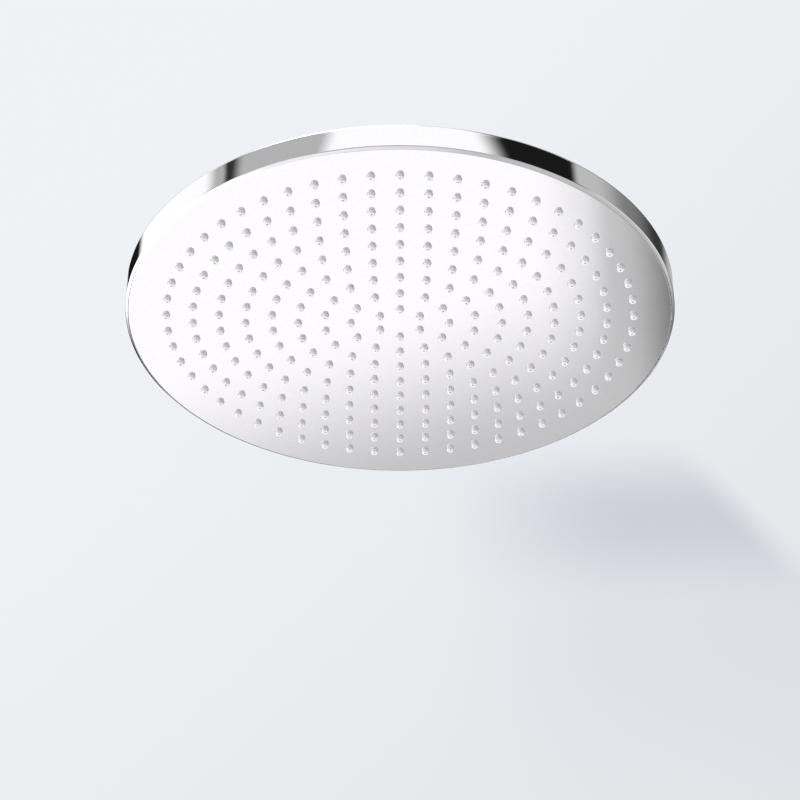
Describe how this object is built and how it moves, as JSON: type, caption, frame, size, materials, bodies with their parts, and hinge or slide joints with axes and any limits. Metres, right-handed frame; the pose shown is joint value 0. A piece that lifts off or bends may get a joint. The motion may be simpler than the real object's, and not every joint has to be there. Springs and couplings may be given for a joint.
{
  "type": "rain shower panel",
  "caption": "Round flat overhead rain shower with rings of silicone nozzles in a polished face, a slim chrome rim and a ball joint with a union nut.",
  "frame": {"origin": "centre of the union nut's mouth, where the shower arm's threaded end enters", "axes": "+Z along the inlet's axis, up into the shower arm; the spray face looks down, towards -Z, and one nozzle of each ring lies towards -Y"},
  "size_m": [0.3, 0.3, 0.0664],
  "materials": {
    "chrome": "polished",
    "mirror_steel": "polished",
    "raw_brass": "satin",
    "spring_steel": "satin",
    "screw_steel": "satin",
    "silicone": "satin",
    "black_rubber": "matte",
    "red_fibre": "matte",
    "acetal": "satin",
    "grey_plastic": "satin",
    "green_plastic": "satin"
  },
  "bodies": {
    "inlet": {"union_nut": "chrome"},
    "stem": {"ball_stem": "chrome", "stem_clip": "spring_steel", "inlet_washer": "black_rubber", "filter_screen": "spring_steel", "flow_regulator": "green_plastic", "regulator_ring": "black_rubber"},
    "seats": {"upper_seat": "acetal", "lower_seat": "acetal", "ball_seal": "black_rubber"},
    "head": {"disc_spring": "spring_steel", "retaining_collar": "chrome", "lock_ring": "chrome", "hub_washer": "red_fibre", "inlet_socket": "raw_brass", "socket_screws": "screw_steel", "spigot_seal": "black_rubber", "housing": "chrome", "chamber_lid": "grey_plastic", "deflector": "grey_plastic", "nozzle_carrier": "grey_plastic", "chamber_seal": "black_rubber", "carrier_screws": "screw_steel", "nozzle_mat": "silicone", "face_plate": "mirror_steel", "face_studs": "screw_steel", "stud_washers": "screw_steel", "stud_nuts": "raw_brass"}
  },
  "joints": [
    {"name": "nut_turn", "type": "hinge", "parent": "inlet", "child": "stem", "pos_m": [0, 0, 0], "axis": [0, 0, 1], "continuous": true},
    {"name": "head_tilt", "type": "hinge", "parent": "stem", "child": "seats", "pos_m": [0, 0, -0.03305], "axis": [1, 0, 0], "range_deg": [-15, 15]},
    {"name": "head_turn", "type": "hinge", "parent": "seats", "child": "head", "pos_m": [0, 0, -0.03305], "axis": [0, 0, 1], "continuous": true}
  ]
}
